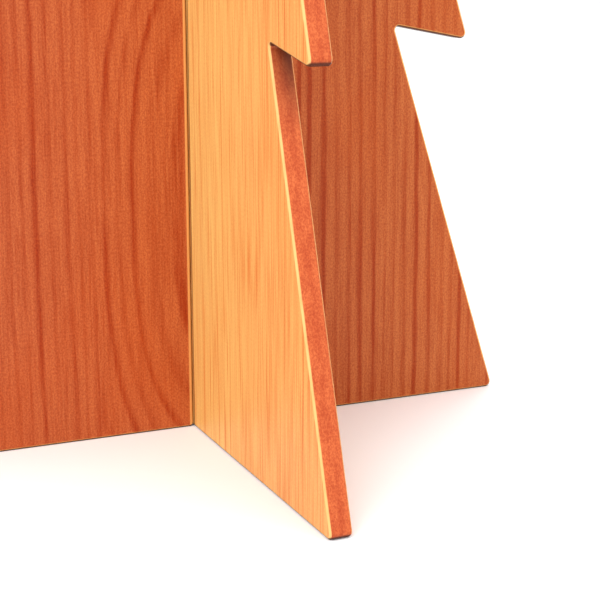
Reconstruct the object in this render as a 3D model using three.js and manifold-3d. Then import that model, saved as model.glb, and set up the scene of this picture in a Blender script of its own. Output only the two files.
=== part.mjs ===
// A knock-down bible stand. Two slotted boards with the same stepped outline cross at right angles and make the
// pedestal, and a sloping book rest with a ledge drops over their top edges. Nothing but the slots holds it together,
// so it comes apart by lifting: the book rest off the panels, and the cross panel off the spine panel.
//
// Millimetres. +Z is up, -Y is the reader's side and +X is the reader's right. The origin is on the floor, on the line
// where the two boards cross.
import * as THREE from "three";
import { mergeVertices } from "three/addons/utils/BufferGeometryUtils.js";
import Module from "manifold-3d";

const manifold = await Module();
manifold.setup();

// ---- driving dimensions ----

const BOARD = 18; // thickness of every board
const FIT = 0.3; // gap between pieces that touch
const PLAY = 0.6; // gap each side of a board in a slot or halving that it slides in
const EDGE_ROUND = 2.5; // round-over along every edge of a board
const CORNER = 5; // radius of an outer corner of an outline
const CUTTER = 3; // radius that the router leaves in an inner corner

// The stepped outline that both pedestal boards share, like a stylised fir.
const FOOT_HALF = 290; // half the width on the floor
const TIERS = 3;
const TIER_HEIGHT = 324; // from one row of points to the next
const TIER_STEP_IN = 36; // how much nearer the centre line each row of points is than the one below
const SIDE_LEAN = THREE.MathUtils.degToRad(18); // lean of the sides from upright
const POINT_DROOP = 14; // how far a point hangs below the inner corner of its notch
const SLOT_MEET = 500; // height at which the two slots bottom out on each other
const SLOT_HALF = BOARD / 2 + PLAY; // half the width of a slot
const SLOT_MOUTH = 3.5; // radius at the mouth of a slot

// The book rest, in its own frame: x across, y up the slope, z square to it, with z = 0 at the board's underside.
const REST_HEIGHT = 1020; // of the board's underside above the crossing line
const REST_TILT = THREE.MathUtils.degToRad(30); // from level
const REST_WIDTH = 520;
const REST_DEPTH = 380; // up the slope
const REST_CORNER = 24; // radius of the two upper corners
const LEDGE_LIP = 26; // how far the ledge stands above the board
const LEDGE_CORNER = 12;

// The two bearers under the board straddle the spine panel and are halved over the cross panel.
const BEARER_WIDTH = 34;
const BEARER_DEPTH = 30;
const BEARER_LENGTH = 300;
const BEARER_TAPER = 18; // chamfer at the lower ends
const BEARER_ROUND = 1.5;
const HALVING = BEARER_DEPTH / 2; // depth of the halving, square to the slope

const SCREW = { length: 40, shank: 2, head: 4, headDepth: 2.4, point: 6 }; // radii and lengths
const SCREW_ROWS = [-120, -60, 60, 120]; // places up the slope
const DOWEL = { radius: 4, length: 38, chamfer: 0.8 };
const DOWEL_COLUMNS = [-210, -70, 70, 210]; // places across
const ROUND_SIDES = 16; // sides of a turned piece
const RUN_IN = 6; // how far outside the wood the tool for a hole starts
const TOP_ALLOWANCE = 60; // what the cross panel's blank has above the slope before its top is cut

// ---- materials ----

const wood = (color) => new THREE.MeshStandardMaterial({ color, roughness: 0.45, metalness: 0 });
const honeyPine = wood(0xeda763);
const redPine = wood(0xc96238);
const beechDowel = wood(0xd9a066);
const brass = new THREE.MeshStandardMaterial({ color: 0xb58a3c, roughness: 0.35, metalness: 1 });

// ---- solids ----

// A closed geometry as a solid that can be cut.
function solidOf(geometry) {
  const bare = new THREE.BufferGeometry().setAttribute("position", geometry.getAttribute("position"));
  if (geometry.index) bare.setIndex(geometry.index);
  const merged = mergeVertices(bare, 1e-4);
  return new manifold.Manifold(
    new manifold.Mesh({
      numProp: 3,
      vertProperties: merged.getAttribute("position").array,
      triVerts: new Uint32Array(merged.index.array),
    }),
  );
}

// The geometry less every tool.
function cut(geometry, ...tools) {
  const solid = tools.reduce((left, tool) => left.subtract(solidOf(tool)), solidOf(geometry));
  const { numProp, vertProperties, triVerts } = solid.getMesh();
  const positions = Float32Array.from(
    { length: (vertProperties.length / numProp) * 3 },
    (_, i) => vertProperties[Math.floor(i / 3) * numProp + (i % 3)],
  );
  const result = new THREE.BufferGeometry();
  result.setAttribute("position", new THREE.BufferAttribute(positions, 3));
  result.setIndex(new THREE.BufferAttribute(triVerts, 1));
  return result.toNonIndexed();
}

// A box from its lowest to its highest corner.
function boxBetween([x0, y0, z0], [x1, y1, z1]) {
  const box = new THREE.BoxGeometry(x1 - x0, y1 - y0, z1 - z0);
  return box.translate((x0 + x1) / 2, (y0 + y1) / 2, (z0 + z1) / 2);
}

// A solid of revolution about Z from a profile of [radius, z] points, listed from the bottom up.
function turned(profile) {
  const points = profile.map(([radius, z]) => new THREE.Vector2(radius, z));
  return new THREE.LatheGeometry(points, ROUND_SIDES).rotateX(Math.PI / 2);
}

// A closed outline through corners [x, y, radius], each rounded by an arc of its own radius.
function roundedShape(corners) {
  const shape = new THREE.Shape();
  const at = (i) => new THREE.Vector2(...corners[(i + corners.length) % corners.length]);
  corners.forEach(([, , radius = 0], i) => {
    const corner = at(i);
    const back = at(i - 1).sub(corner).normalize();
    const ahead = at(i + 1).sub(corner).normalize();
    if (radius === 0) {
      if (i === 0) shape.moveTo(corner.x, corner.y);
      else shape.lineTo(corner.x, corner.y);
      return;
    }
    const halfAngle = Math.acos(THREE.MathUtils.clamp(back.dot(ahead), -1, 1)) / 2;
    const reach = radius / Math.tan(halfAngle);
    const centre = back.clone().add(ahead).setLength(radius / Math.sin(halfAngle)).add(corner);
    const from = back.multiplyScalar(reach).add(corner).sub(centre).angle();
    const to = ahead.clone().multiplyScalar(reach).add(corner).sub(centre).angle();
    const clockwise = at(i).sub(at(i - 1)).cross(ahead) < 0;
    shape.absarc(centre.x, centre.y, radius, from, to, clockwise);
  });
  return shape;
}

// A board of the given outline, centred on its thickness, with rounded edges. It lies in the XY plane.
function boardOf(corners, thickness, round = EDGE_ROUND) {
  const depth = thickness - 2 * round;
  const geometry = new THREE.ExtrudeGeometry(roundedShape(corners), {
    depth,
    bevelThickness: round,
    bevelSize: round,
    bevelOffset: -round,
    bevelSegments: 3,
    curveSegments: 3,
  });
  return geometry.translate(0, 0, -depth / 2);
}

// Stands a flat board up, so that its outline's y becomes the height.
const upright = (geometry) => geometry.rotateX(Math.PI / 2);

function piece(name, geometry, material) {
  const mesh = new THREE.Mesh(geometry, material);
  mesh.name = name;
  return mesh;
}

// ---- pedestal ----

// How far the side of the given tier is from the centre line at a height.
const sideAt = (tier, height) =>
  FOOT_HALF - tier * TIER_STEP_IN - (height - tier * TIER_HEIGHT) * Math.tan(SIDE_LEAN);

// Where the last tier's side meets the line height = start + rise * distance, on the side sign = 1 or -1.
function topCorner(sign, start, rise) {
  const last = TIERS - 1;
  const atFloor = sideAt(last, 0);
  const height = (start + sign * rise * atFloor) / (1 + sign * rise * Math.tan(SIDE_LEAN));
  return [sign * sideAt(last, height), height];
}

// The right-hand side of the outline, from the floor up to the last tier's first point.
function steppedSide() {
  const corners = [[FOOT_HALF, 0, CORNER]];
  for (let tier = 1; tier < TIERS; tier++) {
    const height = tier * TIER_HEIGHT;
    corners.push([sideAt(tier - 1, height + POINT_DROOP), height + POINT_DROOP, CUTTER]);
    corners.push([sideAt(tier, height), height, CORNER]);
  }
  return corners;
}

const mirrored = (corners) => corners.map(([x, y, radius]) => [-x, y, radius]).reverse();

// The side-to-side board. Its slot is open at the floor, and its top is bevelled to the slope of the rest and
// notched for the bearers.
function crossPanel() {
  const top = REST_HEIGHT + TOP_ALLOWANCE;
  const half = sideAt(TIERS - 1, top);
  const slot = [
    [-SLOT_HALF, 0, SLOT_MOUTH],
    [-SLOT_HALF, SLOT_MEET + FIT / 2],
    [SLOT_HALF, SLOT_MEET + FIT / 2],
    [SLOT_HALF, 0, SLOT_MOUTH],
  ];
  const outline = [...slot, ...steppedSide(), [half, top], [-half, top], ...mirrored(steppedSide())];
  const aboveSlope = (halfWidth, depth) =>
    boxBetween([-halfWidth, -REST_DEPTH, -depth], [halfWidth, REST_DEPTH, REST_DEPTH])
      .rotateX(REST_TILT)
      .translate(0, 0, REST_HEIGHT);
  const notchHalf = SLOT_HALF + BEARER_WIDTH + PLAY;
  return cut(
    upright(boardOf(outline, BOARD)),
    aboveSlope(FOOT_HALF, FIT),
    aboveSlope(notchHalf, HALVING + FIT),
  );
}

// The front-to-back board, drawn with the reader's side at negative x. Its slot is open at the top.
function spinePanel() {
  const rise = Math.tan(REST_TILT);
  const start = REST_HEIGHT - FIT / Math.cos(REST_TILT);
  const slot = [
    [SLOT_HALF, start + rise * SLOT_HALF, SLOT_MOUTH],
    [SLOT_HALF, SLOT_MEET - FIT / 2],
    [-SLOT_HALF, SLOT_MEET - FIT / 2],
    [-SLOT_HALF, start - rise * SLOT_HALF, SLOT_MOUTH],
  ];
  const outline = [
    ...steppedSide(),
    [...topCorner(1, start, rise), CORNER],
    ...slot,
    [...topCorner(-1, start, rise), CORNER],
    ...mirrored(steppedSide()),
  ];
  return upright(boardOf(outline, BOARD));
}

// ---- book rest ----

// The screw stands on its head at z = 0 and points up. A gap makes the hole for it, open past the head.
function screw(gap = 0) {
  const { length, shank, head, headDepth, point } = SCREW;
  const foot = gap > 0 ? -RUN_IN : 0;
  return turned([
    [0, foot],
    [head + gap, foot],
    [head + gap, 0.4],
    [shank + gap, headDepth],
    [shank + gap, length - point],
    [0.3 + gap, length + gap],
    [0, length + gap],
  ]);
}

// The dowel lies along y, with its outer end at y = 0. A gap makes the hole for it, open past the outer end.
function dowel(gap = 0) {
  const { radius, length, chamfer } = DOWEL;
  const outer = gap > 0 ? -RUN_IN : 0;
  return turned([
    [0, outer],
    [radius + gap - chamfer, outer],
    [radius + gap, outer + chamfer],
    [radius + gap, length + gap - chamfer],
    [radius + gap - chamfer, length + gap],
    [0, length + gap],
  ]).rotateX(-Math.PI / 2);
}

const restFront = -REST_DEPTH / 2;
const ledgeFront = restFront - FIT - BOARD;
const bearerTop = -FIT;
const bearerFoot = bearerTop - BEARER_DEPTH;
const bearerMiddle = SLOT_HALF + BEARER_WIDTH / 2;

const screwPlaces = [-1, 1].flatMap((side) =>
  SCREW_ROWS.map((row) => new THREE.Vector3(side * bearerMiddle, row, bearerFoot)),
);
const dowelPlaces = DOWEL_COLUMNS.map((column) => new THREE.Vector3(column, ledgeFront, BOARD / 2));

// One hole for each place, to cut from the wood around the fasteners.
const holesFor = (tool, places) => places.map(({ x, y, z }) => tool(FIT).translate(x, y, z));

function bookBoard() {
  const outline = [
    [-REST_WIDTH / 2, restFront, CORNER],
    [REST_WIDTH / 2, restFront, CORNER],
    [REST_WIDTH / 2, -restFront, REST_CORNER],
    [-REST_WIDTH / 2, -restFront, REST_CORNER],
  ];
  const board = boardOf(outline, BOARD).translate(0, 0, BOARD / 2);
  return cut(board, ...holesFor(screw, screwPlaces), ...holesFor(dowel, dowelPlaces));
}

function ledge() {
  const height = BOARD + LEDGE_LIP;
  const outline = [
    [-REST_WIDTH / 2, 0, CORNER],
    [REST_WIDTH / 2, 0, CORNER],
    [REST_WIDTH / 2, height, LEDGE_CORNER],
    [-REST_WIDTH / 2, height, LEDGE_CORNER],
  ];
  const strip = upright(boardOf(outline, BOARD)).translate(0, ledgeFront + BOARD / 2, 0);
  return cut(strip, ...holesFor(dowel, dowelPlaces));
}

// A bearer seen from the side: tapered lower ends, and a halving whose walls are plumb when the rest is in place.
function bearer(side) {
  const wall = (sign, z) => (sign * SLOT_HALF + z * Math.sin(REST_TILT)) / Math.cos(REST_TILT);
  const halvingTop = -HALVING;
  const end = BEARER_LENGTH / 2;
  const outline = [
    [-end, bearerTop],
    [-end, bearerFoot + BEARER_TAPER],
    [-end + BEARER_TAPER, bearerFoot],
    [wall(-1, bearerFoot), bearerFoot],
    [wall(-1, halvingTop), halvingTop],
    [wall(1, halvingTop), halvingTop],
    [wall(1, bearerFoot), bearerFoot],
    [end - BEARER_TAPER, bearerFoot],
    [end, bearerFoot + BEARER_TAPER],
    [end, bearerTop],
  ];
  const batten = upright(boardOf(outline, BEARER_WIDTH, BEARER_ROUND)).rotateZ(Math.PI / 2);
  const places = screwPlaces.filter(({ x }) => x * side > 0);
  return cut(batten.translate(side * bearerMiddle, 0, 0), ...holesFor(screw, places));
}

function bookRest() {
  const rest = new THREE.Group();
  rest.add(
    piece("book_board", bookBoard(), redPine),
    piece("ledge", ledge(), honeyPine),
    piece("bearer_left", bearer(-1), honeyPine),
    piece("bearer_right", bearer(1), honeyPine),
  );
  screwPlaces.forEach((place, i) => {
    const mesh = piece(`bearer_screw_${i + 1}`, screw(), brass);
    mesh.position.copy(place);
    rest.add(mesh);
  });
  dowelPlaces.forEach((place, i) => {
    const mesh = piece(`ledge_dowel_${i + 1}`, dowel(), beechDowel);
    mesh.position.copy(place);
    rest.add(mesh);
  });
  rest.position.z = REST_HEIGHT;
  rest.rotation.x = REST_TILT;
  return rest;
}

// ---- the stand ----

const stand = new THREE.Group();
const spine = piece("spine_panel", spinePanel(), honeyPine);
spine.rotation.z = Math.PI / 2;
stand.add(piece("cross_panel", crossPanel(), redPine), spine, bookRest());

export default stand;
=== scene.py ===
"""The looks of a knock-down bible stand: two slotted pine boards that cross, and a sloping book rest on them.

Metres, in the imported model's frame: +Z up, -Y the reader's side, the origin on the floor where the boards
cross. Every board is rebuilt with smooth round-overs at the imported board's own size, and finished in
procedural pine.
"""

import math

import bmesh
import bpy
from mathutils import Matrix, Vector


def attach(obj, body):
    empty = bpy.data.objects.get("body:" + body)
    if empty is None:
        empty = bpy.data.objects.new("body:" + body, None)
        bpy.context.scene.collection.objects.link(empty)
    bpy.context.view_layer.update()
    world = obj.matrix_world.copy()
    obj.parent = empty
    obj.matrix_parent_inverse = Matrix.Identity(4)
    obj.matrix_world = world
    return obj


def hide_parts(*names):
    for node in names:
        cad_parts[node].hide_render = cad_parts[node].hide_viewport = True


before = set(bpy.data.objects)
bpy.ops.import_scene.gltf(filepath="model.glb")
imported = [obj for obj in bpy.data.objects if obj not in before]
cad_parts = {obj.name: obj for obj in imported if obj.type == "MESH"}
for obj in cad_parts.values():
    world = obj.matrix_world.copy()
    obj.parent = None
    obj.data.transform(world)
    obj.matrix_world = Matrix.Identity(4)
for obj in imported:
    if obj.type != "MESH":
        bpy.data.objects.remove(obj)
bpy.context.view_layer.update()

MM = 0.001

# ---- sizes of the stand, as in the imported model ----

BOARD = 18 * MM
EDGE_ROUND = 2.5 * MM
CORNER = 5 * MM
CUTTER = 3 * MM
SLOT_HALF = 9.6 * MM
SLOT_MOUTH = 3.5 * MM
SLOT_MEET = 500 * MM
FIT = 0.3 * MM
PLAY = 0.6 * MM

TIERS = 3
TIER_HEIGHT = 324 * MM
TIER_STEP_IN = 36 * MM
SIDE_LEAN = math.radians(18)
POINT_DROOP = 14 * MM
FOOT_HALF = 290 * MM

REST_HEIGHT = 1020 * MM
CROSS_TOP = REST_HEIGHT + 60 * MM  # before the rest's slope is cut
REST_TILT = math.radians(30)
REST_WIDTH = 520 * MM
REST_DEPTH = 380 * MM
REST_CORNER = 24 * MM
LEDGE_LIP = 26 * MM
LEDGE_CORNER = 12 * MM
BEARER_WIDTH = 34 * MM
BEARER_DEPTH = 30 * MM
BEARER_LENGTH = 300 * MM
BEARER_TAPER = 18 * MM
BEARER_CORNER = 3 * MM
BEARER_ROUND = 1.5 * MM
SCREW_ROWS = [-120 * MM, -60 * MM, 60 * MM, 120 * MM]
DOWEL_COLUMNS = [-210 * MM, -70 * MM, 70 * MM, 210 * MM]
SCREW_LENGTH, SCREW_SHANK, SCREW_HEAD, SCREW_HEAD_DEPTH = 40 * MM, 2 * MM, 4 * MM, 2.4 * MM
SCREW_RIM = 0.4 * MM  # height of the straight rim of the head
SCREW_RIM_ROUND = 0.15 * MM
SCREW_POINT = 6 * MM
BLUNTED = 0.3 * MM  # the radius left at the screw's point, and what its rim's round takes off
RECESS_LONG, RECESS_SHORT, RECESS_DEEP = 2.3 * MM, 0.45 * MM, 1.3 * MM  # half sizes of each arm
DOWEL_RADIUS, DOWEL_LENGTH, DOWEL_CHAMFER = 4 * MM, 38 * MM, 0.8 * MM
TOOL_START = -6 * MM  # a tool for a hole starts this far outside the wood

ARC_STEP = math.radians(9)  # of the arcs in an outline
ROUND_STEPS = 6  # in a quarter-round edge
TURNED_SIDES = 48

REST_FRONT = -REST_DEPTH / 2
LEDGE_FRONT = REST_FRONT - FIT - BOARD
BEARER_FOOT = -FIT - BEARER_DEPTH
BEARER_MIDDLE = SLOT_HALF + BEARER_WIDTH / 2
REST_PLACE = Matrix.Translation((0, 0, REST_HEIGHT)) @ Matrix.Rotation(REST_TILT, 4, "X")


# ---- meshes ----


def rounded_outline(corners):
    """Points and outward offsets of a closed outline through anticlockwise corners (x, y, radius)."""
    points = []
    for i, (x, y, radius) in enumerate(corners):
        corner = Vector((x, y))
        back = (Vector(corners[i - 1][:2]) - corner).normalized()
        ahead = (Vector(corners[(i + 1) % len(corners)][:2]) - corner).normalized()
        out_back, out_ahead = Vector((-back.y, back.x)), Vector((ahead.y, -ahead.x))
        convex = back.cross(ahead) < 0
        if radius == 0:
            mitre = (out_back + out_ahead) / (1 + out_back.dot(out_ahead))
            points.append((corner, mitre))
            continue
        half = math.acos(max(-1, min(1, back.dot(ahead)))) / 2
        centre = corner + (back + ahead).normalized() * radius / math.sin(half)
        side = 1 if convex else -1
        turn = math.pi - 2 * half
        steps = max(2, math.ceil(turn / ARC_STEP))
        start = math.atan2(out_back.y, out_back.x)
        for step in range(steps + 1):
            angle = start + side * turn * step / steps
            out = Vector((math.cos(angle), math.sin(angle)))
            points.append((centre + out * radius * side, out))
    return points


def board_mesh(name, corners, thickness, edge_round=EDGE_ROUND):
    """A board in the XY plane, centred on its thickness, with a quarter-round along every edge."""
    outline = rounded_outline(corners)
    bm = bmesh.new()
    rings = []
    for side in (-1, 1):
        for step in range(ROUND_STEPS + 1):
            angle = math.pi / 2 * (step if side > 0 else ROUND_STEPS - step) / ROUND_STEPS
            inset = edge_round * (1 - math.cos(angle))
            level = side * (thickness / 2 - edge_round * (1 - math.sin(angle)))
            ring = [bm.verts.new((*(p - out * inset), level)) for p, out in outline]
            rings.append(ring)
    for lower, upper in zip(rings, rings[1:]):
        for i in range(len(outline)):
            j = (i + 1) % len(outline)
            bm.faces.new((lower[i], lower[j], upper[j], upper[i]))
    bm.faces.new(reversed(rings[0]))
    bm.faces.new(rings[-1])
    return finished(name, bm)


def turned_mesh(name, profile):
    """A solid of revolution about Z from (radius, z) points, from the axis below to the axis above."""
    bm = bmesh.new()
    ends = [bm.verts.new((0, 0, profile[0][1])), bm.verts.new((0, 0, profile[-1][1]))]
    angles = [2 * math.pi * i / TURNED_SIDES for i in range(TURNED_SIDES)]
    rings = [
        [bm.verts.new((radius * math.cos(a), radius * math.sin(a), z)) for a in angles]
        for radius, z in profile[1:-1]
    ]
    for i in range(TURNED_SIDES):
        j = (i + 1) % TURNED_SIDES
        bm.faces.new((ends[0], rings[0][j], rings[0][i]))
        bm.faces.new((ends[1], rings[-1][i], rings[-1][j]))
        for lower, upper in zip(rings, rings[1:]):
            bm.faces.new((lower[i], lower[j], upper[j], upper[i]))
    return finished(name, bm)


def box_mesh(name, low, high):
    bm = bmesh.new()
    bmesh.ops.create_cube(bm, size=1)
    for vert in bm.verts:
        vert.co = Vector([low[i] if vert.co[i] < 0 else high[i] for i in range(3)])
    return finished(name, bm)


def finished(name, bm):
    bmesh.ops.recalc_face_normals(bm, faces=bm.faces)
    mesh = bpy.data.meshes.new(name)
    bm.to_mesh(mesh)
    bm.free()
    obj = bpy.data.objects.new(name, mesh)
    bpy.context.scene.collection.objects.link(obj)
    return obj


def placed(obj, matrix):
    """Moves the mesh itself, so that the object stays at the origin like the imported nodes."""
    obj.data.transform(matrix)
    return obj


def upright(obj):
    """Stands a flat board up in the XZ plane."""
    return placed(obj, Matrix.Rotation(math.pi / 2, 4, "X"))


def with_modifiers_applied(obj):
    bpy.context.view_layer.update()
    evaluated = obj.evaluated_get(bpy.context.evaluated_depsgraph_get())
    mesh = bpy.data.meshes.new_from_object(evaluated)
    obj.modifiers.clear()
    obj.data = mesh
    return obj


def cut(obj, tools):
    """Takes every tool out of the piece, and removes the tools."""
    for tool in tools:
        modifier = obj.modifiers.new("cut", "BOOLEAN")
        modifier.operation = "DIFFERENCE"
        modifier.solver = "EXACT"
        modifier.object = tool
    with_modifiers_applied(obj)
    for tool in tools:
        bpy.data.objects.remove(tool)
    return obj


def smooth(obj, sharp_from=math.radians(35)):
    """Smooth shading on the round-overs, true flats, and crisp cuts."""
    for polygon in obj.data.polygons:
        polygon.use_smooth = True
    obj.data.set_sharp_from_angle(angle=sharp_from)
    weighted = obj.modifiers.new("flats", "WEIGHTED_NORMAL")
    weighted.mode = "FACE_AREA"
    weighted.weight = 100
    weighted.keep_sharp = True
    return with_modifiers_applied(obj)


# ---- the two pedestal panels ----


def side_at(tier, height):
    """How far the side of a tier is from the centre line at a height."""
    return FOOT_HALF - tier * TIER_STEP_IN - (height - tier * TIER_HEIGHT) * math.tan(SIDE_LEAN)


def stepped_side():
    """The right-hand side of the outline, from the floor up to the last tier's point."""
    corners = [(FOOT_HALF, 0, CORNER)]
    for tier in range(1, TIERS):
        height = tier * TIER_HEIGHT
        corners.append((side_at(tier - 1, height + POINT_DROOP), height + POINT_DROOP, CUTTER))
        corners.append((side_at(tier, height), height, CORNER))
    return corners


def mirrored(corners):
    return [(-x, y, radius) for x, y, radius in reversed(corners)]


def above_slope(name, half_width, depth):
    """A tool that takes off what is above the rest's slope, or reaches a depth below it."""
    tool = box_mesh(name, (-half_width, -REST_DEPTH, -depth), (half_width, REST_DEPTH, REST_DEPTH))
    return placed(tool, REST_PLACE)


def cross_panel():
    half = side_at(TIERS - 1, CROSS_TOP)
    slot = [
        (-SLOT_HALF, 0, SLOT_MOUTH),
        (-SLOT_HALF, SLOT_MEET + FIT / 2, 0),
        (SLOT_HALF, SLOT_MEET + FIT / 2, 0),
        (SLOT_HALF, 0, SLOT_MOUTH),
    ]
    corners = [
        *slot,
        *stepped_side(),
        (half, CROSS_TOP, CORNER),
        (-half, CROSS_TOP, CORNER),
        *mirrored(stepped_side()),
    ]
    panel = upright(board_mesh("cross_board", corners, BOARD))
    notch_half = SLOT_HALF + BEARER_WIDTH + PLAY
    return cut(
        panel,
        [
            above_slope("slope_tool", FOOT_HALF, FIT),
            above_slope("notch_tool", notch_half, BEARER_DEPTH / 2 + FIT),
        ],
    )


def top_corner(sign, start, rise):
    """Where the last tier's side meets the line height = start + rise * distance."""
    at_floor = side_at(TIERS - 1, 0)
    height = (start + sign * rise * at_floor) / (1 + sign * rise * math.tan(SIDE_LEAN))
    return sign * side_at(TIERS - 1, height), height, CORNER


def spine_panel():
    rise = math.tan(REST_TILT)
    start = REST_HEIGHT - FIT / math.cos(REST_TILT)
    slot = [
        (SLOT_HALF, start + rise * SLOT_HALF, SLOT_MOUTH),
        (SLOT_HALF, SLOT_MEET - FIT / 2, 0),
        (-SLOT_HALF, SLOT_MEET - FIT / 2, 0),
        (-SLOT_HALF, start - rise * SLOT_HALF, SLOT_MOUTH),
    ]
    corners = [
        *stepped_side(),
        top_corner(1, start, rise),
        *slot,
        top_corner(-1, start, rise),
        *mirrored(stepped_side()),
    ]
    panel = upright(board_mesh("spine_board", corners, BOARD))
    return placed(panel, Matrix.Rotation(math.pi / 2, 4, "Z"))


# ---- the book rest, made in its own frame: x across, y up the slope, z square to it ----


def dowel_profile(gap=0.0):
    """The dowel, or with a gap the tool for its hole."""
    radius, end = DOWEL_RADIUS + gap, DOWEL_LENGTH + gap
    chamfer, eased = DOWEL_CHAMFER, 0.3 * DOWEL_CHAMFER
    if gap:
        return [(0, TOOL_START), (radius, TOOL_START), (radius, end), (0, end)]
    return [
        (0, 0),
        (radius - chamfer, 0),
        (radius - eased, eased),
        (radius, chamfer),
        (radius, end - chamfer),
        (radius - chamfer, end),
        (0, end),
    ]


def screw_profile(gap=0.0):
    """The screw, or with a gap the tool for its hole."""
    if gap:
        return [
            (0, TOOL_START),
            (SCREW_HEAD + gap, TOOL_START),
            (SCREW_HEAD + gap, SCREW_RIM),
            (SCREW_SHANK + gap, SCREW_HEAD_DEPTH),
            (SCREW_SHANK + gap, SCREW_LENGTH + gap),
            (0, SCREW_LENGTH + gap),
        ]
    return [
        (0, 0),
        (SCREW_HEAD - BLUNTED, 0),
        (SCREW_HEAD, SCREW_RIM_ROUND),
        (SCREW_HEAD, SCREW_RIM),
        (SCREW_SHANK, SCREW_HEAD_DEPTH),
        (SCREW_SHANK, SCREW_LENGTH - SCREW_POINT),
        (BLUNTED, SCREW_LENGTH),
        (0, SCREW_LENGTH),
    ]


def screw_places(side):
    return [Vector((side * BEARER_MIDDLE, row, BEARER_FOOT)) for row in SCREW_ROWS]


DOWEL_PLACES = [Vector((column, LEDGE_FRONT, BOARD / 2)) for column in DOWEL_COLUMNS]
ALONG_Y = Matrix.Rotation(-math.pi / 2, 4, "X")


def dowel_tools():
    return [
        placed(turned_mesh("tool", dowel_profile(FIT)), Matrix.Translation(place) @ ALONG_Y)
        for place in DOWEL_PLACES
    ]


def screw_tools(sides):
    return [
        placed(turned_mesh("tool", screw_profile(FIT)), Matrix.Translation(place))
        for side in sides
        for place in screw_places(side)
    ]


def book_board():
    corners = [
        (-REST_WIDTH / 2, REST_FRONT, CORNER),
        (REST_WIDTH / 2, REST_FRONT, CORNER),
        (REST_WIDTH / 2, -REST_FRONT, REST_CORNER),
        (-REST_WIDTH / 2, -REST_FRONT, REST_CORNER),
    ]
    board = placed(board_mesh("rest_board", corners, BOARD), Matrix.Translation((0, 0, BOARD / 2)))
    return cut(board, [*screw_tools((-1, 1)), *dowel_tools()])


def ledge():
    height = BOARD + LEDGE_LIP
    corners = [
        (-REST_WIDTH / 2, 0, CORNER),
        (REST_WIDTH / 2, 0, CORNER),
        (REST_WIDTH / 2, height, LEDGE_CORNER),
        (-REST_WIDTH / 2, height, LEDGE_CORNER),
    ]
    strip = upright(board_mesh("rest_ledge", corners, BOARD))
    placed(strip, Matrix.Translation((0, LEDGE_FRONT + BOARD / 2, 0)))
    return cut(strip, dowel_tools())


def bearer(side):
    def wall(sign, z):
        """Where the halving over the upright cross panel lies along the bearer, at a height in its frame."""
        return (sign * SLOT_HALF + z * math.sin(REST_TILT)) / math.cos(REST_TILT)

    end, foot, halving = BEARER_LENGTH / 2, BEARER_FOOT, -BEARER_DEPTH / 2
    taper = BEARER_TAPER
    corners = [
        (-end, foot + taper, BEARER_CORNER),
        (-end + taper, foot, BEARER_CORNER),
        (wall(-1, foot), foot, 0),
        (wall(-1, halving), halving, 0),
        (wall(1, halving), halving, 0),
        (wall(1, foot), foot, 0),
        (end - taper, foot, BEARER_CORNER),
        (end, foot + taper, BEARER_CORNER),
        (end, -FIT, BEARER_ROUND),
        (-end, -FIT, BEARER_ROUND),
    ]
    name = "rest_bearer_left" if side < 0 else "rest_bearer_right"
    batten = upright(board_mesh(name, corners, BEARER_WIDTH, BEARER_ROUND))
    placed(batten, Matrix.Translation((side * BEARER_MIDDLE, 0, 0)) @ Matrix.Rotation(math.pi / 2, 4, "Z"))
    return cut(batten, screw_tools([side]))


def head_recess(place):
    """The tools for a cross recess in a screw's head, which faces down."""
    tools = []
    for half_x, half_y in ((RECESS_LONG, RECESS_SHORT), (RECESS_SHORT, RECESS_LONG)):
        size = Vector((half_x, half_y, RECESS_DEEP))
        tools.append(placed(box_mesh("tool", -size, size), Matrix.Translation(place)))
    return tools


def screw(name, place):
    body = placed(turned_mesh(name, screw_profile()), Matrix.Translation(place))
    return cut(body, head_recess(place))


def dowel(name, place):
    return placed(turned_mesh(name, dowel_profile()), Matrix.Translation(place) @ ALONG_Y)


# ---- materials ----


def srgb(red, green, blue):
    """A linear colour from 8-bit sRGB."""

    def linear(value):
        value /= 255
        return value / 12.92 if value <= 0.04045 else ((value + 0.055) / 1.055) ** 2.4

    return linear(red), linear(green), linear(blue), 1.0


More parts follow.
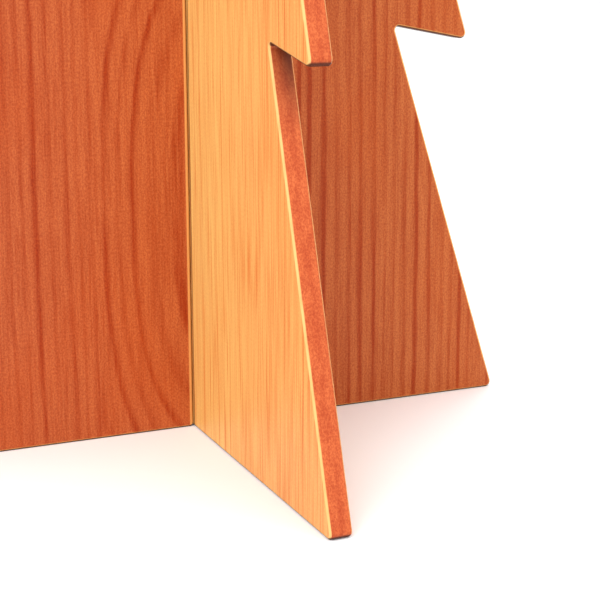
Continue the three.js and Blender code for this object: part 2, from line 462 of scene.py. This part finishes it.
class Graph:
    """Writes a material's nodes as nested calls. An input is a number, a tuple or another node's output."""

    def __init__(self, name):
        self.material = bpy.data.materials.new(name)
        self.material.use_nodes = True
        self.nodes = self.material.node_tree.nodes
        self.links = self.material.node_tree.links
        self.shader = self.nodes["Principled BSDF"]

    def set(self, socket, value):
        if isinstance(value, bpy.types.NodeSocket):
            self.links.new(value, socket)
        else:
            socket.default_value = value

    def node(self, kind, inputs, **settings):
        made = self.nodes.new(kind)
        for key, value in settings.items():
            setattr(made, key, value)
        for key, value in inputs.items():
            self.set(made.inputs[key], value)
        return made

    def math(self, operation, first, second=0.0):
        return self.node("ShaderNodeMath", {0: first, 1: second}, operation=operation).outputs[0]

    def add(self, first, second):
        return self.math("ADD", first, second)

    def times(self, first, second):
        return self.math("MULTIPLY", first, second)

    def split(self, vector):
        return self.node("ShaderNodeSeparateXYZ", {0: vector}).outputs

    def join(self, x, y, z):
        return self.node("ShaderNodeCombineXYZ", {0: x, 1: y, 2: z}).outputs[0]

    def stretched(self, vector, sizes):
        """The vector in units of the given sizes."""
        inputs = {0: vector, 1: tuple(1 / size for size in sizes)}
        return self.node("ShaderNodeVectorMath", inputs, operation="MULTIPLY").outputs[0]

    def noise(self, vector, sizes, detail=2.0, roughness=0.5):
        """Noise from 0 to 1 with features of about the given sizes."""
        inputs = {"Vector": self.stretched(vector, sizes), "Scale": 1.0}
        inputs.update({"Detail": detail, "Roughness": roughness})
        return self.node("ShaderNodeTexNoise", inputs).outputs["Fac"]

    def wander(self, vector, sizes, reach, detail=1.0):
        """Noise about zero, out to about half the reach on each side."""
        return self.times(self.math("SUBTRACT", self.noise(vector, sizes, detail), 0.5), reach)

    def remap(self, value, low, high, new_low=0.0, new_high=1.0):
        """Eases from new_low at low to new_high at high, and stays level past them."""
        inputs = {0: value, 1: low, 2: high, 3: new_low, 4: new_high}
        made = self.node("ShaderNodeMapRange", inputs, interpolation_type="SMOOTHSTEP", clamp=True)
        return made.outputs[0]

    def steps(self, value, stops):
        """The colour and alpha of the last stop at or below a value from 0 to 1."""
        made = self.node("ShaderNodeValToRGB", {0: value})
        made.color_ramp.interpolation = "CONSTANT"
        elements = made.color_ramp.elements
        while len(elements) < len(stops):
            elements.new(1.0)
        for element, (place, color) in zip(elements, stops):
            element.position = place
            element.color = color
        return made.outputs["Color"], made.outputs["Alpha"]

    def mix(self, factor, first, second, blend="MIX"):
        made = self.nodes.new("ShaderNodeMix")
        made.data_type = "RGBA"
        made.blend_type = blend
        colors = [socket for socket in made.inputs if socket.type == "RGBA"]
        self.set(made.inputs["Factor"], factor)
        self.set(colors[0], first)
        self.set(colors[1], second)
        return [socket for socket in made.outputs if socket.type == "RGBA"][0]


# Where a board's width, grain and thickness run in the frame that its coordinates are taken in.
# The shown side is the sign of the thickness direction that its better face looks along.
# A panel also has tints for the left, middle and right of its faces, and the strength of a line along the
# joint: a painted highlight along the cross panel's slot, and painted shade where the spine panel's faces
# meet the cross panel.
CROSS_FRAME = {
    "axes": (0, 2, 1),
    "tilt": 0.0,
    "height": 0.0,
    "shown": -1,
    "tints": ((0.93, 0.82, 0.86, 1), (1.04, 1.0, 0.98, 1), (1.0, 1.04, 0.97, 1)),
    "slot_highlight": 0.75,
}
SPINE_FRAME = {
    "axes": (1, 2, 0),
    "tilt": 0.0,
    "height": 0.0,
    "shown": -1,
    "tints": ((0.95, 0.86, 0.85, 1), (1.03, 1.18, 1.18, 1), (0.95, 0.86, 0.85, 1)),
    "joint_shade": 0.85,
}
BOARD_FRAME = {"axes": (1, 0, 2), "tilt": REST_TILT, "height": REST_HEIGHT, "shown": 1}
LEDGE_FRAME = {"axes": (2, 0, 1), "tilt": REST_TILT, "height": REST_HEIGHT, "shown": -1}
BEARER_FRAME = {"axes": (0, 1, 2), "tilt": REST_TILT, "height": REST_HEIGHT, "shown": -1}

# Lengths in the materials are in millimetres.
METRE = 1000
STAVE = 92  # width of the staves that a board is glued up from
MOST_STAVES = 8
RING = 9.5  # between two growth rings far from the heart
YOUNG = 120  # how far from the heart the rings are still much wider
SLOW_SWAY, QUICK_SWAY = ((70, 380, 70), 6, 1), ((16, 70, 16), 2, 2)  # each with its sizes, reach and detail
RING_WANDER = ((26, 1, 1), 17)  # how a ring's width changes, with sizes and reach
STREAK_LENGTH, FIBRE_WIDTH = 110, 1.1
SEED_ACROSS, SEED_ALONG = 700, 1300  # how far a seed of 1 moves the noise
STAVE_SHIFT = 57  # how far one stave's ring noise lies from the next one's
BASE_TONE = 0.2  # how dark a face is, from 0 to 1, without its rings, streaks and fibres

# Each stave's heart: how far it lies across from the stave's middle and behind the board's face, how much the
# rings close in over a metre of height, and how far the heart bows back between its nearest points.
RIFT = (130, 45, 5, 0)
PLAIN = (20, 38, 35, 0)
RADIAL = (-160, 15, 3, 0)
ARCHED = (-12, 30, -30, 10)
OVAL = (56, 20, 0, 90)
BOW_LENGTH = 700  # between two places where a bowed heart comes nearest to the face
BOW_LEVEL = 192  # the height of the first of them

TINT_START, TINT_END = 10, 210  # from the board's middle, where its tint starts to change and where it ends
SLOT_HIGHLIGHT_SPAN = (12.2, 13.4)  # from the board's middle, where the painted highlight along the slot fades and where it ends
JOINT_SHADE_SPAN = (8.6, 9.1, 9.9, 11.1)  # from the board's middle, where the painted shade along the joint starts, is full, fades and ends
CORE = (1, 6)  # from the middle of a cut edge, where its darker core fades and where it ends
CORE_STAIN, MOTTLE_STAIN = 0.75, 0.7  # the most that the core and the mottle add
SHADED_SIDE = (-8, 6)  # across a cut edge towards its less-seen side, where the painted shadow below a notch darkens
NOTCH_SHADOW_REACH = 75  # how far below a notch's corner the painted shadow reaches
NOTCH_SHADOW_DARKNESS, UNDERSIDE_SHADE_DARKNESS = 0.9, 0.95  # how dark the painted shade gets below a notch and on the undersides

# How squarely the surface looks along the board's thickness: 0 on a cut edge, 1 on a face.
FACE_FROM = (0.3, 0.85)  # where a cut edge's look gives way to a face's
PAST_EDGE = (0.25, 0.6)  # where a cut edge ends
FLAT_FROM = (0.93, 0.998)  # where a round-over ends

LACQUER_ROUGHNESS, LACQUER_SPECULAR = 0.4, 0.15
GRAIN_DEPTH = 0.25 * MM
# The colour of the painted shade.
PAINTED_SHADE_COLOR = srgb(72, 28, 12)
DARK_GRIT, LIGHT_GRIT = (0.83, 0.70, 0.66, 1), (1.15, 1.29, 1.29, 1)

# Each look has its colours, where the late wood of a year starts, is darkest and ends, how strong the rings,
# streaks, fibres and grit are, how wide a streak is and how long a fibre is.
# HONEY and RED stand for one pine seen in different light: much of the difference between HONEY's pale faces
# and the red of its edges and of RED is painted light and shade.
HONEY = {
    "light": srgb(224, 170, 98),
    "dark": srgb(208, 122, 60),
    "patch": srgb(222, 154, 82),
    "edge": srgb(192, 92, 50),
    "edge_dark": srgb(170, 68, 34),
    "arris": srgb(228, 176, 110),
    "late": (0.45, 0.84, 0.97),
    "rings": 0.6,
    "streak": 3.0,
    "streaks": 2.0,
    "fibres": 2.8,
    "fibre": 75,
    "grit": 0.3,
}
RED = {
    "light": srgb(180, 94, 50),
    "dark": srgb(150, 54, 16),
    "patch": srgb(178, 76, 22),
    "edge": srgb(190, 88, 44),
    "edge_dark": srgb(164, 64, 30),
    "arris": srgb(236, 172, 98),
    "late": (0.3, 0.7, 0.94),
    "rings": 1.0,
    "streak": 4.0,
    "streaks": 1.3,
    "fibres": 1.1,
    "fibre": 30,
    "grit": 1.0,
}
BATTEN = {
    **HONEY,
    "edge": srgb(214, 150, 84),
    "edge_dark": srgb(196, 120, 62),
    "arris": srgb(228, 180, 108),
}


def board_coordinates(graph, board):
    """A point's place in millimetres and the surface's direction, each as (across, along, through)."""
    source = graph.nodes.new("ShaderNodeTexCoord")
    tilt, height = board["tilt"], board["height"]

    def taken(output, location, scale):
        inputs = {"Vector": output, "Location": location, "Rotation": (tilt, 0, 0), "Scale": scale}
        parts = graph.split(graph.node("ShaderNodeMapping", inputs, vector_type="TEXTURE").outputs[0])
        return graph.join(*(parts[i] for i in board["axes"]))

    place = taken(source.outputs["Object"], (0, 0, height), (MM, MM, MM))
    direction = taken(source.outputs["Normal"], (0, 0, 0), (1, 1, 1))
    return place, direction


def stave_values(graph, across, along, hearts):
    """The heart of the stave that a point is in: its place across the board, its depth and its taper."""
    index = graph.math("FLOOR", graph.math("DIVIDE", across, STAVE))
    middle = graph.times(graph.add(index, 0.5), STAVE)
    share = graph.math("DIVIDE", graph.add(index, MOST_STAVES / 2 + 0.5), MOST_STAVES)
    stops = []
    for i in range(MOST_STAVES):
        aside, depth, taper, bow = hearts[i % len(hearts)]
        coded = (0.5 + aside / METRE, depth / METRE, 0.5 + taper / METRE, bow / METRE)
        stops.append((i / MOST_STAVES, coded))
    color, bow = graph.steps(share, stops)
    stave = graph.split(color)
    aside = graph.times(graph.math("SUBTRACT", stave[0], 0.5), METRE)
    turn = graph.times(graph.math("SUBTRACT", along, BOW_LEVEL), 2 * math.pi / BOW_LENGTH)
    back = graph.times(graph.math("SUBTRACT", 1.0, graph.math("COSINE", turn)), 0.5)
    depth = graph.times(graph.add(stave[1], graph.times(bow, back)), METRE)
    taper = graph.math("SUBTRACT", stave[2], 0.5)
    return graph.add(middle, aside), depth, taper, index


def growth_rings(graph, look, place, moved, hearts, seed, years):
    """How strongly the dark late wood of a year shows, and how far the grain sways to the side."""
    across, along, through = graph.split(place)
    heart, depth, taper, stave = stave_values(graph, across, along, hearts)
    sway = graph.add(graph.wander(moved, *SLOW_SWAY), graph.wander(moved, *QUICK_SWAY))
    from_heart = graph.math("SUBTRACT", graph.add(across, sway), heart)
    below = graph.add(through, depth)
    squares = graph.add(graph.times(from_heart, from_heart), graph.times(below, below))
    distance = graph.math("SQRT", squares)
    young = graph.math("DIVIDE", distance, graph.add(distance, YOUNG))
    rings = graph.add(graph.times(distance, young), graph.times(taper, along))
    stave_noise = graph.times(stave, STAVE_SHIFT)
    year = graph.join(rings, stave_noise, seed)
    rings = graph.math("DIVIDE", graph.add(rings, graph.wander(year, *RING_WANDER)), RING)
    phase = graph.math("FRACT", rings)
    start, darkest, end = look["late"]
    late = graph.times(graph.remap(phase, start, darkest), graph.remap(phase, darkest, end, 1.0, 0.0))
    this_year = graph.join(graph.math("FLOOR", rings), stave_noise, seed + years)
    strength = graph.remap(graph.noise(this_year, (1.7, 1, 1), 1), 0.3, 0.7, 0.3, 1.0)
    strength = graph.times(strength, graph.remap(graph.noise(moved, (24, 120, 24), 2), 0.3, 0.6, 0.5, 1.0))
    return graph.times(late, strength), sway


def face_tone(graph, look, late, sway, moved):
    """How dark a face is, from 0 to 1, by its growth rings, streaks and fibres."""
    across, along, through = graph.split(moved)
    flowing = graph.join(graph.add(across, sway), along, through)
    streak = graph.noise(flowing, (look["streak"], STREAK_LENGTH, look["streak"]), 3, 0.6)
    fibre = graph.noise(flowing, (FIBRE_WIDTH, look["fibre"], FIBRE_WIDTH), 2)
    tone = graph.times(late, look["rings"])
    tone = graph.add(tone, graph.times(graph.math("SUBTRACT", streak, 0.5), look["streaks"]))
    tone = graph.add(tone, graph.times(graph.math("SUBTRACT", fibre, 0.5), look["fibres"]))
    return graph.math("MAXIMUM", graph.math("MINIMUM", graph.add(tone, BASE_TONE), 1.0), 0.0)


def cut_edge(graph, look, moved):
    """The colour of a cut edge in the look's edge colours, which are painted darker than the faces as shade,
    and darker still in streaks and along its middle.
    """
    mottle = graph.noise(moved, (5, 70, 5), 3, 0.6)
    from_middle = graph.math("ABSOLUTE", graph.split(moved)[2])
    core = graph.times(graph.remap(from_middle, *CORE, 1.0, 0.0), graph.remap(mottle, 0.3, 0.6))
    streaks = graph.remap(mottle, 0.35, 0.75, 0.0, MOTTLE_STAIN)
    stain = graph.math("MAXIMUM", streaks, graph.times(core, CORE_STAIN))
    return graph.mix(stain, look["edge"], look["edge_dark"])


def evening_tint(graph, across, tints):
    """A tint that offsets the shade in the corners between the panels and the stronger light on the left."""
    left, middle, right = tints
    tint = graph.mix(graph.remap(across, -TINT_END, -TINT_START, 1.0, 0.0), middle, left)
    return graph.mix(graph.remap(across, TINT_START, TINT_END), tint, right)


def with_worn_and_highlit_arrises(graph, look, board, color, place, moved, facing):
    """The colour with pale round-overs, partly wear and partly painted highlight, more on the shown side as
    painted highlight, and a painted highlight along a slot.
    """
    across, along, _ = graph.split(place)
    square = graph.math("ABSOLUTE", facing)
    past_edge = graph.remap(square, *PAST_EDGE)
    # More of the pale colour on the shown side's round-overs: a painted highlight.
    highlight_side = graph.remap(graph.times(facing, board["shown"]), -0.2, 0.2, 0.15, 1.0)
    wear_and_highlight = graph.times(past_edge, graph.remap(square, *FLAT_FROM, 1.0, 0.0))
    wear_and_highlight = graph.times(wear_and_highlight, graph.remap(graph.noise(moved, (9, 30, 9), 2), 0.25, 0.6, 0.6, 1.0))
    color = graph.mix(graph.times(wear_and_highlight, highlight_side), color, look["arris"])
    # A painted highlight on the cross panel's face along its slot.
    if "slot_highlight" in board:
        beside = graph.remap(graph.math("ABSOLUTE", across), *SLOT_HIGHLIGHT_SPAN, 1.0, 0.0)
        beside_slot = graph.math("LESS_THAN", along, SLOT_MEET / MM)
        beside = graph.times(graph.times(beside, past_edge), beside_slot)
        color = graph.mix(graph.times(beside, board["slot_highlight"]), color, look["arris"])
    return color


def painted_shadow_below_notch(graph, across):
    """How strong the painted shadow is on the sides of the two lower tiers, just below each notch's corner.
    """
    height = graph.split(graph.nodes.new("ShaderNodeTexCoord").outputs["Object"])[2]
    below_corner = graph.math("MODULO", graph.math("SUBTRACT", height, POINT_DROOP), TIER_HEIGHT)
    shade_strength = graph.remap(below_corner, TIER_HEIGHT - NOTCH_SHADOW_REACH * MM, TIER_HEIGHT, 0.0, NOTCH_SHADOW_DARKNESS)
    midway = (side_at(0, TIER_HEIGHT) + side_at(1, TIER_HEIGHT)) / 2 + TIER_STEP_IN
    inner = graph.math("SUBTRACT", midway, graph.times(height, TIER_STEP_IN / TIER_HEIGHT))
    is_inner = graph.math("LESS_THAN", graph.math("ABSOLUTE", across), graph.times(inner, METRE))
    shade_strength = graph.times(shade_strength, is_inner)
    top_corner_height = (TIERS - 1) * TIER_HEIGHT + POINT_DROOP
    return graph.times(shade_strength, graph.math("LESS_THAN", height, top_corner_height))


def with_painted_shade(graph, board, color, place, facing):
    """The colour with painted shade on the undersides, a painted shadow below the notches, and painted shade
    along the joint's corners.
    """
    across, _, through = graph.split(place)
    square = graph.math("ABSOLUTE", facing)
    normal = graph.nodes.new("ShaderNodeTexCoord").outputs["Normal"]
    # Painted shade on the downward-facing cut edges and round-overs.
    underside_shade = graph.remap(graph.split(normal)[2], -0.6, -0.2, UNDERSIDE_SHADE_DARKNESS, 0.0)
    underside_shade = graph.times(underside_shade, graph.remap(square, 0.93, 0.995, 1.0, 0.0))
    less_seen = graph.times(through, -board["shown"])
    # Painted shadow below each notch's corner, darker towards the edge's less-seen side.
    notch_shadow = painted_shadow_below_notch(graph, across)
    notch_shadow = graph.times(notch_shadow, graph.remap(less_seen, *SHADED_SIDE, 0.35, 1.0))
    notch_shadow = graph.times(notch_shadow, graph.remap(square, 0.2, 0.6, 1.0, 0.0))
    shade_strength = graph.math("MAXIMUM", underside_shade, notch_shadow)
    # Painted shade on the spine panel's faces where they meet the cross panel.
    if "joint_shade" in board:
        start, full, fade, end = JOINT_SHADE_SPAN
        aside = graph.math("ABSOLUTE", across)
        joint_shade = graph.times(graph.remap(aside, start, full), graph.remap(aside, fade, end, 1.0, 0.0))
        joint_shade = graph.times(graph.times(joint_shade, graph.remap(square, *PAST_EDGE)), board["joint_shade"])
        shade_strength = graph.math("MAXIMUM", shade_strength, joint_shade)
    return graph.mix(shade_strength, color, PAINTED_SHADE_COLOR)


def wood(name, look, board, hearts, seed=0.0, years=0.0):
    """Lacquered pine with growth rings, staves, fibres and fine speckle."""
    graph = Graph(name)
    place, direction = board_coordinates(graph, board)
    across, along, through = graph.split(place)
    facing = graph.split(direction)[2]
    square = graph.math("ABSOLUTE", facing)
    shifted = graph.add(across, seed * SEED_ACROSS), graph.add(along, seed * SEED_ALONG)
    moved = graph.join(*shifted, through)

    late, sway = growth_rings(graph, look, place, moved, hearts, seed, years)
    tone = face_tone(graph, look, late, sway, moved)
    face = graph.mix(tone, look["light"], look["dark"])
    patch = graph.remap(graph.noise(moved, (70, 160, 70), 1), 0.45, 0.75, 0.0, 0.55)
    face = graph.mix(patch, face, graph.mix(0.5, face, look["patch"]))
    on_face = graph.remap(square, *FACE_FROM)
    color = graph.mix(on_face, cut_edge(graph, look, moved), face)
    speckle = graph.noise(moved, (1.3, 1.9, 1.3), 2, 0.7)
    grit = graph.mix(graph.remap(speckle, 0.3, 0.7), DARK_GRIT, LIGHT_GRIT)
    color = graph.mix(graph.remap(square, *FACE_FROM, 1.0, look["grit"]), color, grit, "MULTIPLY")
    if "tints" in board:
        color = graph.mix(on_face, color, evening_tint(graph, across, board["tints"]), "MULTIPLY")
    color = with_worn_and_highlit_arrises(graph, look, board, color, place, moved, facing)
    color = with_painted_shade(graph, board, color, place, facing)

    graph.set(graph.shader.inputs["Base Color"], color)
    graph.set(graph.shader.inputs["Roughness"], graph.add(graph.times(tone, 0.12), LACQUER_ROUGHNESS))
    relief = graph.add(graph.times(tone, 0.5), graph.times(speckle, 0.35))
    bump = graph.node("ShaderNodeBump", {"Height": relief, "Strength": 0.35, "Distance": GRAIN_DEPTH})
    graph.set(graph.shader.inputs["Normal"], bump.outputs[0])
    graph.shader.inputs["Specular IOR Level"].default_value = LACQUER_SPECULAR
    return graph.material


def end_grain(name):
    """Sanded beech across the grain, for the ends of the dowels."""
    graph = Graph(name)
    place, _ = board_coordinates(graph, LEDGE_FRAME)
    pores = graph.noise(place, (0.35, 0.35, 2), 2, 0.6)
    cloud = graph.noise(place, (2.5, 2.5, 8), 2)
    color = graph.mix(graph.remap(cloud, 0.35, 0.65), srgb(214, 160, 104), srgb(190, 128, 76))
    color = graph.mix(graph.remap(pores, 0.55, 0.7, 0.0, 0.5), color, srgb(122, 72, 40))
    graph.set(graph.shader.inputs["Base Color"], color)
    graph.set(graph.shader.inputs["Roughness"], graph.add(graph.times(pores, 0.2), 0.45))
    return graph.material


def brass(name):
    """Turned brass with a little tarnish."""
    graph = Graph(name)
    place, _ = board_coordinates(graph, BEARER_FRAME)
    tarnish = graph.noise(place, (1.6, 1.6, 1.6), 3)
    graph.set(graph.shader.inputs["Base Color"], graph.mix(tarnish, srgb(214, 176, 96), srgb(150, 112, 56)))
    graph.set(graph.shader.inputs["Roughness"], graph.remap(tarnish, 0.3, 0.7, 0.22, 0.42))
    graph.shader.inputs["Metallic"].default_value = 1.0
    return graph.material


# ---- the stand ----


def piece(obj, body, node, material):
    """Finishes a piece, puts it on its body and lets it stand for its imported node."""
    smooth(obj)
    obj.data.materials.clear()
    obj.data.materials.append(material)
    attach(obj, body)
    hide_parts(node)
    return obj


def build_stand():
    cross_hearts = [RADIAL, RIFT, RADIAL, OVAL, RIFT, RADIAL, RADIAL, RIFT]
    spine_hearts = [RIFT, RADIAL, ARCHED, RIFT, RADIAL, PLAIN, RIFT, RIFT]
    board_hearts = [RIFT, PLAIN, RADIAL, ARCHED, RIFT, PLAIN]
    cross_wood = wood("cross_wood", RED, CROSS_FRAME, cross_hearts, years=6.4)
    spine_wood = wood("spine_wood", HONEY, SPINE_FRAME, spine_hearts, 1)
    board_wood = wood("board_wood", RED, BOARD_FRAME, board_hearts, 2)
    strip_wood = wood("ledge_wood", HONEY, LEDGE_FRAME, [RADIAL], 3)
    piece(cross_panel(), "cross", "cross_panel", cross_wood)
    piece(spine_panel(), "spine", "spine_panel", spine_wood)
    piece(placed(book_board(), REST_PLACE), "rest", "book_board", board_wood)
    piece(placed(ledge(), REST_PLACE), "rest", "ledge", strip_wood)
    for side, word in ((-1, "left"), (1, "right")):
        bearer_wood = wood(f"bearer_{word}_wood", BATTEN, BEARER_FRAME, [RADIAL], 4 + side)
        batten = placed(bearer(side), REST_PLACE)
        piece(batten, "rest", f"bearer_{word}", bearer_wood)
    metal = brass("screw_brass")
    places = [place for side in (-1, 1) for place in screw_places(side)]
    for i, place in enumerate(places, 1):
        made = placed(screw(f"rest_screw_{i}", place), REST_PLACE)
        piece(made, "rest", f"bearer_screw_{i}", metal)
    beech = end_grain("beech_end")
    for i, place in enumerate(DOWEL_PLACES, 1):
        made = placed(dowel(f"rest_dowel_{i}", place), REST_PLACE)
        piece(made, "rest", f"ledge_dowel_{i}", beech)


# ---- camera, light and floor ----

SENSOR_WIDTH, LENS = 36, 87.84  # in millimetres
LIGHT_AIM = (0, 0, 0.45)
WORLD_STRENGTH = 1.08
FLOOR_HALF = 12


def look_along(obj, azimuth, elevation, aim, distance):
    """Puts a camera or light at a distance from a point and turns it to face it. Azimuth 0 looks along +Y."""
    a, e = math.radians(azimuth), math.radians(elevation)
    back = Vector((math.sin(a) * math.cos(e), -math.cos(a) * math.cos(e), math.sin(e)))
    obj.location = Vector(aim) + back * distance
    obj.rotation_euler = (-back).to_track_quat("-Z", "Y").to_euler()


def make_camera():
    camera = bpy.data.objects.new("camera", bpy.data.cameras.new("camera"))
    bpy.context.scene.collection.objects.link(camera)
    camera.data.sensor_width = SENSOR_WIDTH
    camera.data.lens = LENS
    camera.data.clip_end = 50
    look_along(camera, azimuth=-23.75, elevation=13.52, aim=(0.095, 0, 0.1004), distance=1.2949)
    bpy.context.scene.camera = camera


def soft_box(name, azimuth, elevation, distance, size, watts):
    light = bpy.data.objects.new(name, bpy.data.lights.new(name, "AREA"))
    light.data.shape = "RECTANGLE"
    light.data.size, light.data.size_y = size
    light.data.energy = watts
    look_along(light, azimuth, elevation, LIGHT_AIM, distance)
    bpy.context.scene.collection.objects.link(light)


def make_studio():
    soft_box("key", azimuth=-50, elevation=42, distance=6.4, size=(4.4, 4.4), watts=304)
    soft_box("fill", azimuth=35, elevation=45, distance=3.6, size=(2.6, 2.2), watts=24)
    soft_box("back", azimuth=150, elevation=40, distance=3.6, size=(2.6, 2.0), watts=34)
    world = bpy.data.worlds.new("studio")
    world.use_nodes = True
    world.node_tree.nodes["Background"].inputs["Color"].default_value = (1, 1, 1, 1)
    world.node_tree.nodes["Background"].inputs["Strength"].default_value = WORLD_STRENGTH
    bpy.context.scene.world = world
    bpy.context.scene.view_settings.view_transform = "Standard"

    bm = bmesh.new()
    bmesh.ops.create_grid(bm, x_segments=1, y_segments=1, size=FLOOR_HALF)
    floor = finished("floor", bm)
    graph = Graph("floor_paint")
    graph.shader.inputs["Base Color"].default_value = (0.95, 0.95, 0.95, 1)
    graph.shader.inputs["Roughness"].default_value = 0.7
    floor.data.materials.append(graph.material)


make_camera()
make_studio()
build_stand()
